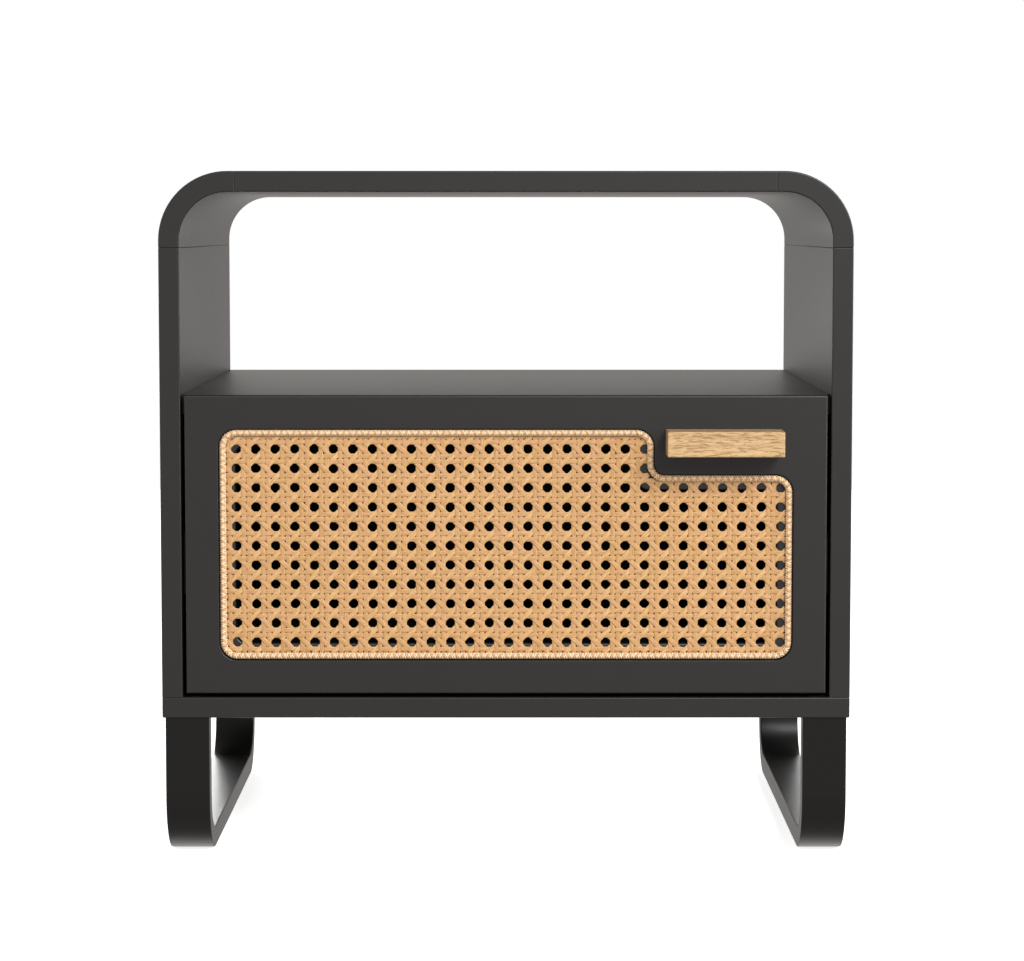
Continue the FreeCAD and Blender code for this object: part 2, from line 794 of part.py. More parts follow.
def front_joints():
    """Cams in the drawer sides that pull on bolts in the drawer front, with dowels beside them."""
    cams = []
    bolts = []
    pegs = []
    front_holes = []
    side_holes = {}
    for hand, sign in hands:
        side_holes[hand] = []
        across = signed(sign, "box_out - box_board / 2")
        for z in ("box_low + front_cam_inset", "box_top - front_cam_inset"):
            along = ("front_rear - front_dowel_reach", "front_rear + front_cam_setback + front_bolt_radius")
            bolts.append(turned("front_cam_bolts", "y", (across, z), [(*along, "front_bolt_radius")]))
            room = (*along, "front_bolt_radius + hole_clearance")
            room = turned("front_cam_bolt_room", "y", (across, z), [room])
            line = ("front_rear + front_cam_setback", z)
            thick = sided(sign, "box_in", "box_in + front_cam_height")
            drum = turned("front_cams_drum", "x", line, [(*thick, "front_cam_radius")])
            cams.append(cut("front_cams", drum, [room]))
            bore = [(*thick, "front_cam_radius + hole_clearance")]
            side_holes[hand] += [turned("front_cam_hole", "x", line, bore), room]
            front_holes.append(room)
        lines = [(across, z) for z in ("box_low + front_dowel_inset", "box_top - front_dowel_inset")]
        found, holes = dowels("front_dowels", "y", lines, "front_rear", "front_dowel_reach", "dowel_half")
        pegs += found
        front_holes += holes
        side_holes[hand] += holes
    keep("front_cams", group("front_cams", cams))
    keep("front_cam_bolts", group("front_cam_bolts", bolts))
    keep("front_dowels", group("front_dowels", pegs))
    return front_holes, side_holes


def facing(sign, steps):
    """Round steps given for the right side, turned about for the left."""
    if sign > 0:
        return steps
    return [(f"-({high})", f"-({low})", *reversed(radius)) for low, high, *radius in steps]


def back_screws():
    """Countersunk screws through the drawer sides into the ends of the drawer back."""
    screws = []
    holes = []
    neck = "box_out - box_screw_head"
    tip = "box_out - box_screw_length"
    for hand, sign in hands:
        for z in ("box_low + box_screw_inset", "box_top - box_screw_inset"):
            line = ("box_back - box_board / 2", z)
            steps = [(tip, neck, "box_screw_radius"), (neck, "box_out", "box_screw_radius", "box_screw_head")]
            screws.append(turned("drawer_back_screws", "x", line, facing(sign, steps)))
            wide = []
            for low, high, *radii in steps:
                wide.append((low, high, *(f"{radius} + hole_clearance" for radius in radii)))
            holes.append(turned("drawer_back_screw_hole", "x", line, facing(sign, wide)))
    keep("drawer_back_screws", group("drawer_back_screws", screws))
    return holes


def drawer_box(side_holes, slide_holes):
    """Two sides, a back, and a bottom panel in a groove all round; returns the groove's room."""
    screw_holes = back_screws()
    level = ("box_bottom", "box_bottom + bottom_board")
    groove = "groove_depth + groove_clearance"
    groove_room = block(
        "bottom_groove",
        (f"-(box_in + {groove})", f"box_in + {groove}"),
        (f"front_rear - ({groove})", f"box_back - box_board + {groove}"),
        level,
    )
    keep("drawer_bottom", block(
        "drawer_bottom_board",
        ("-(box_in + groove_depth)", "box_in + groove_depth"),
        ("front_rear - groove_depth", "box_back - box_board + groove_depth"),
        level,
    ))
    high = ("box_low", "box_top")
    back = block("drawer_back_board", ("-box_in", "box_in"), ("box_back - box_board", "box_back"), high)
    keep("drawer_back", cut("drawer_back", back, screw_holes + [groove_room]))
    for hand, sign in hands:
        side = block("drawer_side_board", sided(sign, "box_in", "box_out"), ("front_rear", "box_back"), high)
        holes = side_holes[hand] + slide_holes[hand] + screw_holes + [groove_room]
        keep("drawer_side_" + hand, cut("drawer_side_" + hand, side, holes))
    return groove_room


# ---------------------------------------------------------------- runners

def from_side(sign, near, far):
    """A range across X given by two distances inwards from a side panel's inner face."""
    return sided(sign, f"inner_x - ({far})", f"inner_x - ({near})")


def channel(name, sign, start, reach, sheet_size, half, y, holes=()):
    """A folded strip: a web at start and two flanges that reach away from it.

    start is the web's distance from the side panel and reach is how far in the flanges end;
    a reach below start points the flanges back at the side panel.
    """
    inwards = number(reach) > number(start)
    web = (start, f"{start} + {sheet_size}") if inwards else (f"{start} - {sheet_size}", start)
    flange = (start, reach) if inwards else (reach, start)
    middle = "slide_middle_height"
    web_z = (f"{middle} - ({half})", f"{middle} + {half}")
    lower = (web_z[0], f"{web_z[0]} + {sheet_size}")
    upper = (f"{web_z[1]} - {sheet_size}", web_z[1])
    strips = [
        block(name + "_web", from_side(sign, *web), y, web_z),
        block(name + "_lower", from_side(sign, *flange), y, lower),
        block(name + "_upper", from_side(sign, *flange), y, upper),
    ]
    whole = fused(name, strips)
    keep(name, cut(name, whole, list(holes)) if holes else whole)


def slide_screws(name, sign, steps):
    """Three low-headed screws through a runner's web, and the holes that they need."""
    screws = []
    holes = []
    places_along = ("slide_front + slide_screw_edge", "slide_front + slide_length / 2")
    places_along += ("slide_front + slide_length - slide_screw_edge",)
    for y in places_along:
        line = (y, "slide_middle_height")
        screws.append(turned(name, "x", line, facing(sign, steps)))
        low, high, *radius = next(step for step in steps if step[2] == "slide_screw_radius")
        hole = [(low, high, "slide_screw_radius + hole_clearance")]
        holes.append(turned(name + "_hole", "x", line, facing(sign, hole)))
    return screws, holes


def caged_balls(kind, hand, sign, start, reach, line, level):
    """A folded cage between two runner members, and the balls in its two rows of holes."""
    row_count = int((size("cage_length") / 2 - 2 * size("ball_radius")) // size("ball_pitch"))
    across = signed(sign, f"inner_x - {line}")
    middle_y = "slide_front + slide_length / 2"
    holes = []
    balls = []
    for k in range(-row_count, row_count + 1):
        y = f"{middle_y} + {k} * ball_pitch"
        steps = [(f"slide_middle_height - {level} - cage_bore", f"slide_middle_height + {level} + cage_bore",
                  "ball_radius + ball_clearance")]
        holes.append(turned("ball_hole", "z", (across, y), steps))
        for side in ("-", "+"):
            ball = doc.addObject("Part::Sphere", "ball")
            bind(ball, Radius="ball_radius")
            move(ball, across, y, f"slide_middle_height {side} {level}")
            balls.append(ball)
    name = f"slide_{kind}_cage_{hand}"
    along = ("cage_front", "cage_front + cage_length")
    channel(name, sign, start, reach, "cage_sheet", f"{level} + cage_sheet / 2", along, holes)
    keep(f"slide_{kind}_balls_{hand}", group("balls", balls))


def runners():
    """A ball-bearing runner on each side: cabinet, middle and drawer members, and two cages."""
    along = ("slide_front", "slide_front + slide_length")
    seat = "inner_x - slide_sheet"
    cabinet_steps = [
        (f"{seat} - slide_screw_head_height", seat, "slide_screw_head"),
        (seat, "inner_x + slide_screw_grip", "slide_screw_radius"),
    ]
    rest = "inner_x - slide_gap + slide_sheet"
    drawer_steps = [
        ("inner_x - slide_gap - slide_screw_grip", rest, "slide_screw_radius"),
        (rest, f"{rest} + slide_screw_head_height", "slide_screw_head"),
    ]
    cabinet_screws = []
    drawer_screws = []
    cabinet_holes = {}
    drawer_holes = {}
    for hand, sign in hands:
        screws, cabinet_holes[hand] = slide_screws("slide_cabinet_screws", sign, cabinet_steps)
        cabinet_screws += screws
        screws, drawer_holes[hand] = slide_screws("slide_drawer_screws", sign, drawer_steps)
        drawer_screws += screws
        channel(f"slide_cabinet_{hand}", sign, "0", "outer_flange", "slide_sheet", "outer_half",
                along, cabinet_holes[hand])
        channel(f"slide_middle_{hand}", sign, "middle_start", "middle_start + middle_flange", "slide_sheet",
                "middle_half", along)
        channel(f"slide_drawer_{hand}", sign, "slide_gap", "slide_gap - inner_flange", "slide_sheet",
                "inner_half", along, drawer_holes[hand])
        caged_balls("outer", hand, sign, "outer_cage_start", "outer_cage_reach", "outer_ball_line",
                    "outer_balls")
        caged_balls("inner", hand, sign, "inner_cage_start", "inner_cage_reach", "inner_ball_line",
                    "inner_balls")
    keep("slide_cabinet_screws", group("slide_cabinet_screws", cabinet_screws))
    keep("slide_drawer_screws", group("slide_drawer_screws", drawer_screws))
    return cabinet_holes, drawer_holes


# ---------------------------------------------------------------- the whole piece

cabinet_holes, drawer_holes = runners()
carcass(cabinet_holes)
front_holes, side_holes = front_joints()
groove_room = drawer_box(side_holes, drawer_holes)
drawer_front(front_holes + handle() + [groove_room])
cane_panel()
cane_trim()
doc.recompute()

failed = [thing.Name for thing in doc.Objects if "Invalid" in thing.State or "Error" in thing.State]
if failed:
    raise RuntimeError(f"failed to compute: {failed}")
for name, thing in nodes.items():
    if thing.Shape.isNull() or not thing.Shape.isValid() or not thing.Shape.Solids:
        raise RuntimeError(f"{name} has no valid solid")

os.makedirs("parts", exist_ok=True)
for name, thing in nodes.items():
    thing.Shape.exportStep(f"parts/{name}.step")
    print(f"{name}: {len(thing.Shape.Solids)} solid(s), {thing.Shape.Volume / 1000:.1f} cm3")
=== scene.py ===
import math

import bpy
import numpy as np
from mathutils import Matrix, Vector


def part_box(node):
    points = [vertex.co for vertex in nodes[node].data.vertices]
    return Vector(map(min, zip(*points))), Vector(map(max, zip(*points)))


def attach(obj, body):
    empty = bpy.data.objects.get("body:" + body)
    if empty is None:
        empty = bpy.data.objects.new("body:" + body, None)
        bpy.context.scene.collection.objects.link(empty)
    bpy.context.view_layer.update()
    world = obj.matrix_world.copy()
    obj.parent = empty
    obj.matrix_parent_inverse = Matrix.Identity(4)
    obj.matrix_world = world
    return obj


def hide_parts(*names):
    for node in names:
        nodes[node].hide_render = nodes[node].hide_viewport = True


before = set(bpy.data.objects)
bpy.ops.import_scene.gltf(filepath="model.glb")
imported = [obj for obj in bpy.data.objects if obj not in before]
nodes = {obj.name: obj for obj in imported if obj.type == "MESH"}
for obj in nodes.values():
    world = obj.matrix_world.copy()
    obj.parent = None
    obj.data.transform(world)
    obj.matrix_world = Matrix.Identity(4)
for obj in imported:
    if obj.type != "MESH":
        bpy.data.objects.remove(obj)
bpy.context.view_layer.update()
print("frame loaded:", len(nodes), "nodes")

# places that the frame gives, in metres
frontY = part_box("side_right")[0].y
trimLow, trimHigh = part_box("cane_trim")
caneLow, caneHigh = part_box("cane_panel")

view = {
    "lens": 108.6,               # mm, on a 36 mm sensor
    "away": 2.2252,              # camera to the front plane
    "height": 0.45997,
    "across": 0.00437,
    "tilt": 4.694,               # degrees down
}

studio = {
    # brightness of the white surround, and what is added round some directions:
    # direction, angle in degrees at which it has faded out, angle within which it is full, brightness
    "base": 0.66,
    "glows": {
        "highBehind": ((0, 0.9, 0.45), 22, 10, 0.13),
        "lowBehind": ((0, 0.64, -0.77), 32, 15, 1.0),
        "leftBehind": ((-0.21, 0.98, 0.21), 14, 4, 0.10),
    },
    "tint": (1.0, 0.955, 0.92),
    "floorTone": 0.85,
    "floorSize": 6.0,
    "floorWhite": 0.82,          # light that the pale floor adds to its own shade in plain view
    # name: place, aimed at, width, height, watts, spread in degrees
    "lamps": {
        "keyLamp": ((1.85, -4.0, 2.9), (0, 0, 0.25), 1.9, 1.9, 225, 180),
        "rightLamp": ((2.2, -0.8, 0.8), (0.25, -0.2, 0.4), 0.45, 1.5, 22, 180),
        "leftLamp": ((-2.2, -0.8, 0.8), (-0.25, -0.2, 0.4), 0.45, 1.5, 9, 180),
        "lowLeftLamp": ((-0.55, 0.9, 0.23), (-0.232, 0, 0.0155), 0.5, 0.2, 0.5, 60),
        "lowRightLamp": ((0.55, 0.9, 0.23), (0.232, 0, 0.0155), 0.5, 0.2, 0.15, 60),
    },
}


def addLamp(name, place, target, width, height, watts, spread):
    data = bpy.data.lights.new(name, "AREA")
    data.shape = "RECTANGLE"
    data.size = width
    data.size_y = height
    data.energy = watts
    data.spread = math.radians(spread)
    lamp = bpy.data.objects.new(name, data)
    bpy.context.scene.collection.objects.link(lamp)
    lamp.location = place
    aim = np.array(target, float) - np.array(place, float)
    flat = math.hypot(aim[0], aim[1])
    lamp.rotation_euler = (math.atan2(flat, -aim[2]), 0, math.atan2(aim[1], aim[0]) - math.pi / 2)


def makeSurround():
    world = bpy.data.worlds.new("surround")
    world.use_nodes = True
    bpy.context.scene.world = world
    tree = world.node_tree
    background = tree.nodes["Background"]
    direction = tree.nodes.new("ShaderNodeTexCoord").outputs["Generated"]

    def ranged(value, low, high, start, end):
        node = tree.nodes.new("ShaderNodeMapRange")
        node.interpolation_type = "SMOOTHSTEP"
        tree.links.new(value, node.inputs["Value"])
        numbers = {"From Min": low, "From Max": high, "To Min": start, "To Max": end}
        for label, number in numbers.items():
            node.inputs[label].default_value = number
        return node.outputs["Result"]

    def added(first, second):
        node = tree.nodes.new("ShaderNodeMath")
        tree.links.new(first, node.inputs[0])
        if isinstance(second, float):
            node.inputs[1].default_value = second
        else:
            tree.links.new(second, node.inputs[1])
        return node.outputs[0]

    total = None
    for aim, outer, inner, glow in studio["glows"].values():
        along = tree.nodes.new("ShaderNodeVectorMath")
        along.operation = "DOT_PRODUCT"
        tree.links.new(direction, along.inputs[0])
        along.inputs[1].default_value = np.array(aim, float) / np.linalg.norm(aim)
        near, full = math.cos(math.radians(outer)), math.cos(math.radians(inner))
        level = ranged(along.outputs["Value"], near, full, 0.0, glow)
        total = added(total, level) if total else added(level, studio["base"])
    # plain white where it is seen directly
    rays = tree.nodes.new("ShaderNodeLightPath")
    mix = tree.nodes.new("ShaderNodeMix")
    tree.links.new(rays.outputs["Is Camera Ray"], mix.inputs["Factor"])
    tree.links.new(total, mix.inputs["A"])
    mix.inputs["B"].default_value = 1.0
    tree.links.new(mix.outputs["Result"], background.inputs["Strength"])
    hue = tree.nodes.new("ShaderNodeMix")
    hue.data_type = "RGBA"
    tree.links.new(rays.outputs["Is Camera Ray"], hue.inputs["Factor"])
    hue.inputs[6].default_value = (*studio["tint"], 1)
    hue.inputs[7].default_value = (1, 1, 1, 1)
    tree.links.new(hue.outputs[2], background.inputs["Color"])


def makeStudio():
    camera = bpy.data.objects.new("camera", bpy.data.cameras.new("camera"))
    camera.data.sensor_width = 36
    camera.data.lens = view["lens"]
    camera.data.clip_end = 50
    camera.location = (view["across"], frontY - view["away"], view["height"])
    camera.rotation_euler = (math.radians(90 - view["tilt"]), 0, 0)
    bpy.context.scene.collection.objects.link(camera)
    bpy.context.scene.camera = camera
    bpy.context.scene.view_settings.view_transform = "Standard"

    makeSurround()

    half = studio["floorSize"] / 2
    mesh = bpy.data.meshes.new("floor")
    corners = [(-half, -half, 0), (half, -half, 0), (half, half, 0), (-half, half, 0)]
    mesh.from_pydata(corners, [], [(0, 1, 2, 3)])
    floor = bpy.data.objects.new("floor", mesh)
    bpy.context.scene.collection.objects.link(floor)
    finish = bpy.data.materials.new("paleFloor")
    finish.use_nodes = True
    shader = finish.node_tree.nodes["Principled BSDF"]
    tone = studio["floorTone"]
    shader.inputs["Base Color"].default_value = (tone, tone, tone, 1)
    shader.inputs["Roughness"].default_value = 0.9
    shader.inputs["Specular IOR Level"].default_value = 0.1
    shader.inputs["Emission Color"].default_value = (1, 1, 1, 1)
    rays = finish.node_tree.nodes.new("ShaderNodeLightPath")
    glow = finish.node_tree.nodes.new("ShaderNodeMath")
    glow.operation = "MULTIPLY"
    glow.inputs[1].default_value = studio["floorWhite"]
    finish.node_tree.links.new(rays.outputs["Is Camera Ray"], glow.inputs[0])
    finish.node_tree.links.new(glow.outputs[0], shader.inputs["Emission Strength"])
    mesh.materials.append(finish)
    floor.visible_glossy = False         # the surround lights the piece from below instead
    floor.visible_diffuse = False
    for name, values in studio["lamps"].items():
        addLamp(name, *values)
    print("studio ready")


makeStudio()


def addNode(tree, kind, inputs=(), **settings):
    node = tree.nodes.new(kind)
    for name, value in settings.items():
        setattr(node, name, value)
    for name, value in dict(inputs).items():
        if isinstance(value, bpy.types.NodeSocket):
            tree.links.new(value, node.inputs[name])
        else:
            node.inputs[name].default_value = value
    return node


def newGroup(name, inputs, outputs):
    tree = bpy.data.node_groups.new(name, "ShaderNodeTree")
    for label, (kind, value) in inputs.items():
        socket = tree.interface.new_socket(label, in_out="INPUT", socket_type=kind)
        if value is not None:
            socket.default_value = value
    for label, kind in outputs.items():
        tree.interface.new_socket(label, in_out="OUTPUT", socket_type=kind)
    return tree, tree.nodes.new("NodeGroupInput").outputs, tree.nodes.new("NodeGroupOutput").inputs


def makeFibreGroup():
    # noise stretched along one direction, then spread to the whole range from 0 to 1
    tree, given, out = newGroup(
        "fibre",
        {
            "Place": ("NodeSocketVector", None),
            "Stretch": ("NodeSocketVector", (50, 2000, 2000)),
            "Detail": ("NodeSocketFloat", 4.0),
            "Contrast": ("NodeSocketFloat", 1.0),
        },
        {"Mask": "NodeSocketFloat"},
    )
    drawn = addNode(tree, "ShaderNodeVectorMath", {0: given["Place"], 1: given["Stretch"]},
                    operation="MULTIPLY")
    noise = addNode(tree, "ShaderNodeTexNoise", {
        "Vector": drawn.outputs["Vector"], "Scale": 1.0, "Detail": given["Detail"], "Roughness": 0.6})
    centred = addNode(tree, "ShaderNodeMath", {0: noise.outputs["Fac"], 1: 0.5}, operation="SUBTRACT")
    spread = addNode(tree, "ShaderNodeMath", {0: given["Contrast"], 1: 2.6}, operation="MULTIPLY")
    mask = addNode(tree, "ShaderNodeMath", {0: centred.outputs[0], 1: spread.outputs[0], 2: 0.5},
                   operation="MULTIPLY_ADD", use_clamp=True)
    tree.links.new(mask.outputs[0], out["Mask"])
    return tree


def makeUnevenGroup():
    # soft noise brought to the range from low to high
    tree, given, out = newGroup(
        "unevenness",
        {
            "Place": ("NodeSocketVector", None),
            "Scale": ("NodeSocketFloat", 12.0),
            "Low": ("NodeSocketFloat", 0.3),
            "High": ("NodeSocketFloat", 0.5),
        },
        {"Value": "NodeSocketFloat"},
    )
    noise = addNode(tree, "ShaderNodeTexNoise", {
        "Vector": given["Place"], "Scale": given["Scale"], "Detail": 5.0, "Roughness": 0.55})
    ranged = addNode(tree, "ShaderNodeMapRange", {
        "Value": noise.outputs["Fac"], "From Min": 0.3, "From Max": 0.7,
        "To Min": given["Low"], "To Max": given["High"]})
    tree.links.new(ranged.outputs["Result"], out["Value"])
    return tree


fibreGroup = makeFibreGroup()
unevenGroup = makeUnevenGroup()


def useFibre(tree, place, stretch, detail=4.0, contrast=1.0):
    node = addNode(tree, "ShaderNodeGroup", node_tree=fibreGroup)
    tree.links.new(place, node.inputs["Place"])
    node.inputs["Stretch"].default_value = stretch
    node.inputs["Detail"].default_value = detail
    node.inputs["Contrast"].default_value = contrast
    return node.outputs["Mask"]


def useUneven(tree, place, scale, low, high):
    node = addNode(tree, "ShaderNodeGroup", node_tree=unevenGroup)
    tree.links.new(place, node.inputs["Place"])
    node.inputs["Scale"].default_value = scale
    node.inputs["Low"].default_value = low
    node.inputs["High"].default_value = high
    return node.outputs["Value"]


def newMaterial(name, **sockets):
    material = bpy.data.materials.new(name)
    material.use_nodes = True
    tree = material.node_tree
    shader = tree.nodes["Principled BSDF"]
    for label, value in sockets.items():
        shader.inputs[label.replace("_", " ")].default_value = value
    place = addNode(tree, "ShaderNodeTexCoord").outputs["Object"]
    return material, tree, shader, place


def mixColour(tree, mask, low, high):
    mix = addNode(tree, "ShaderNodeMix", data_type="RGBA")
    tree.links.new(mask, mix.inputs["Factor"])
    for name, value in (("A", low), ("B", high)):
        socket = next(s for s in mix.inputs if s.name == name and s.type == "RGBA")
        if isinstance(value, bpy.types.NodeSocket):
            tree.links.new(value, socket)
        else:
            socket.default_value = (*value, 1)
    return next(s for s in mix.outputs if s.type == "RGBA")


def rangeOf(tree, value, low, high, fromLow=0.0, fromHigh=1.0):
    node = addNode(tree, "ShaderNodeMapRange", {
        "Value": value, "From Min": fromLow, "From Max": fromHigh, "To Min": low, "To Max": high})
    return node.outputs["Result"]


def addBump(tree, shader, height, distance, strength=1.0):
    bump = addNode(tree, "ShaderNodeBump",
                   {"Height": height, "Distance": distance, "Strength": strength})
    tree.links.new(bump.outputs["Normal"], shader.inputs["Normal"])


def dress(material, *names):
    for name in names:
        nodes[name].data.materials.clear()
        nodes[name].data.materials.append(material)


lacquer = {
    # for the boards and the legs: colours at the dull and bright spots, roughness at the same, gloss
    "board": ((0.0090, 0.0087, 0.0085), (0.0096, 0.0093, 0.0091), 0.385, 0.40, 0.5),
    "leg": ((0.0026, 0.0025, 0.0024), (0.0030, 0.0029, 0.0028), 0.34, 0.355, 0.3),
    "toneScale": 9.0,            # soft patches to the metre, in the colour and in the roughness
    "roughScale": 120.0,
    "peelScale": 900,            # bumps to the metre of the sprayed surface
    "peelDepth": 0.00003,
}


def makeLacquer(name, colour, colourHigh, roughLow, roughHigh, level):
    material, tree, shader, place = newMaterial(name, Specular_IOR_Level=level)
    tone = useUneven(tree, place, lacquer["toneScale"], 0.0, 1.0)
    tree.links.new(mixColour(tree, tone, colour, colourHigh), shader.inputs["Base Color"])
    rough = useUneven(tree, place, lacquer["roughScale"], roughLow, roughHigh)
    tree.links.new(rough, shader.inputs["Roughness"])
    peel = addNode(tree, "ShaderNodeTexNoise",
                   {"Vector": place, "Scale": lacquer["peelScale"], "Detail": 2.0})
    addBump(tree, shader, peel.outputs["Fac"], lacquer["peelDepth"])
    return material


boardLacquer = makeLacquer("boardLacquer", *lacquer["board"])
legLacquer = makeLacquer("legLacquer", *lacquer["leg"])
dress(boardLacquer, "top_panel", "corner_left", "corner_right", "side_left", "side_right",
      "bottom_panel", "shelf", "drawer_front")
dress(legLacquer, "leg_left", "leg_right")
print("lacquer done")

foil = {
    "dark": (0.012, 0.0115, 0.011),
    "light": (0.020, 0.019, 0.018),
    "grain": (1400, 30, 1400),   # fine pores drawn out along the depth
    "depth": 0.00003,
    "rough": (40.0, 0.5, 0.62),  # patches to the metre, low, high
}


def makeFoil():
    material, tree, shader, place = newMaterial("blackFoil")
    pores = useFibre(tree, place, foil["grain"], 3.0, 1.0)
    tree.links.new(mixColour(tree, pores, foil["dark"], foil["light"]), shader.inputs["Base Color"])
    tree.links.new(useUneven(tree, place, *foil["rough"]), shader.inputs["Roughness"])
    addBump(tree, shader, pores, foil["depth"])
    return material


dress(makeFoil(), "back_panel", "drawer_side_left", "drawer_side_right", "drawer_back", "drawer_bottom")

oak = {
    "pale": (0.63, 0.42, 0.21),
    "honey": (0.43, 0.26, 0.11),
    "brown": (0.27, 0.15, 0.055),
    "dark": (0.20, 0.105, 0.04),
    "bands": (9, 260, 330),      # wide growth bands along the bar
    "streaks": (130, 850, 950),  # short brown streaks about 1 mm wide
    "fibres": (45, 1500, 1800),
    "pores": (110, 2600, 3000),
    "poreDepth": 0.00012,
    # low and high of what a mask becomes, and the mask's values where that is reached
    "brownRange": (0.0, 0.85, 0.40, 0.12),
    "darkRange": (0.0, 0.75, 0.22, 0.0),
    "rough": (0.42, 0.6),
    "fibreShare": 0.45,          # how far pale fibres cover the growth bands
}


def makeOak():
    material, tree, shader, place = newMaterial("oiledOak", Specular_IOR_Level=0.45, Coat_Weight=0.5,
                                                Coat_Roughness=0.12)
    bands = useFibre(tree, place, oak["bands"], 3.0, 1.1)
    fibres = useFibre(tree, place, oak["fibres"], 4.0, 0.9)
    pores = useFibre(tree, place, oak["pores"], 2.0, 1.6)
    base = mixColour(tree, bands, oak["honey"], oak["pale"])
    cover = addNode(tree, "ShaderNodeMath", {0: fibres, 1: oak["fibreShare"]}, operation="MULTIPLY")
    base = mixColour(tree, cover.outputs[0], base, oak["pale"])
    streaks = useFibre(tree, place, oak["streaks"], 3.0, 1.7)
    brown = rangeOf(tree, streaks, *oak["brownRange"])
    base = mixColour(tree, brown, base, oak["brown"])
    deep = rangeOf(tree, pores, *oak["darkRange"])
    tree.links.new(mixColour(tree, deep, base, oak["dark"]), shader.inputs["Base Color"])
    rough = rangeOf(tree, fibres, *oak["rough"])
    tree.links.new(rough, shader.inputs["Roughness"])
    addBump(tree, shader, pores, oak["poreDepth"], 0.6)
    return material


dress(makeOak(), "drawer_handle")

metalShade = 0.86                # brightness of a metal's rolling lines against its colour
metalDepth = 0.00001
metals = {
    # name: colour, roughness low and high, stretch of the rolling lines, nodes
    "blackSheet": ((0.035, 0.035, 0.037), 0.32, 0.46, (900, 12, 900),
                  [f"slide_{member}_{hand}" for member in ("cabinet", "middle", "drawer")
                   for hand in ("left", "right")]),
    "zincPlate": ((0.60, 0.60, 0.61), 0.25, 0.4, (500, 500, 500),
                  ["leg_bolts", "leg_inserts", "side_screws", "shelf_cam_bolts", "front_cam_bolts",
                   "handle_screws", "handle_inserts", "drawer_back_screws", "slide_cabinet_screws",
                   "slide_drawer_screws"]),
    "castZinc": ((0.50, 0.50, 0.51), 0.42, 0.58, (700, 700, 700), ["shelf_cams", "front_cams"]),
    "ballSteel": ((0.78, 0.78, 0.80), 0.08, 0.16, (300, 300, 300),
                  [f"slide_{row}_balls_{hand}" for row in ("outer", "inner")
                   for hand in ("left", "right")]),
}


def makeMetal(name, colour, low, high, stretch):
    material, tree, shader, place = newMaterial(name, Metallic=1.0)
    lines = useFibre(tree, place, stretch, 3.0, 0.8)
    shade = tuple(c * metalShade for c in colour)
    tree.links.new(mixColour(tree, lines, shade, colour), shader.inputs["Base Color"])
    rough = rangeOf(tree, lines, low, high)
    tree.links.new(rough, shader.inputs["Roughness"])
    addBump(tree, shader, lines, metalDepth)
    return material


for name, (colour, low, high, stretch, pieces) in metals.items():
    dress(makeMetal(name, colour, low, high, stretch), *pieces)

plastics = {
    "cagePlastic": ((0.05, 0.05, 0.055), [f"slide_{row}_cage_{hand}" for row in ("outer", "inner")
                                          for hand in ("left", "right")]),
    "blackNylon": ((0.03, 0.03, 0.03), ["leg_glides"]),
}
plasticFinish = {
    "bright": 1.25,              # brightest patches against the colour
    "toneScale": 60.0,
    "rough": (150.0, 0.42, 0.58),
    "grainScale": 2500.0,
    "grainDepth": 0.00002,
}


def makePlastic(name, colour):
    material, tree, shader, place = newMaterial(name)
    bright = tuple(c * plasticFinish["bright"] for c in colour)
    shade = useUneven(tree, place, plasticFinish["toneScale"], 0.0, 1.0)
    tree.links.new(mixColour(tree, shade, colour, bright), shader.inputs["Base Color"])
    tree.links.new(useUneven(tree, place, *plasticFinish["rough"]), shader.inputs["Roughness"])
    texture = addNode(tree, "ShaderNodeTexNoise",
                      {"Vector": place, "Scale": plasticFinish["grainScale"], "Detail": 2.0})
    addBump(tree, shader, texture.outputs["Fac"], plasticFinish["grainDepth"])
    return material


for name, (colour, pieces) in plastics.items():
    dress(makePlastic(name, colour), *pieces)


beech = {
    "dark": (0.50, 0.33, 0.18),
    "pale": (0.70, 0.52, 0.33),
    "rough": (200.0, 0.55, 0.7),
    "depth": 0.00004,
    "along": 60,                 # grain to the metre along the fibres and across them
    "across": 1600,
}
along, across = beech["along"], beech["across"]


def makeBeech(name, stretch):
    material, tree, shader, place = newMaterial(name)
    grain = useFibre(tree, place, stretch, 4.0, 1.0)
    tree.links.new(mixColour(tree, grain, beech["dark"], beech["pale"]), shader.inputs["Base Color"])
    tree.links.new(useUneven(tree, place, *beech["rough"]), shader.inputs["Roughness"])
    addBump(tree, shader, grain, beech["depth"])
    return material


dress(makeBeech("beechAcross", (along, across, across)), "top_dowels", "shelf_dowels")
dress(makeBeech("beechUpright", (across, across, along)), "side_dowels", "leg_dowels")
dress(makeBeech("beechDeep", (across, along, across)), "front_dowels")
print("fittings done")

window = {
    "trimGap": 0.0006,           # trim's outer edge to the window's edge
    "radius": 0.0132,
    "notchRadius": 0.0076,
    "notchWidth": 0.1005,
    "notchHeight": 0.033,
}
windowLow = (trimLow.x - window["trimGap"], trimLow.z - window["trimGap"])
windowHigh = (trimHigh.x + window["trimGap"], trimHigh.z + window["trimGap"])
notchCorner = (windowHigh[0] - window["notchWidth"], windowHigh[1] - window["notchHeight"])


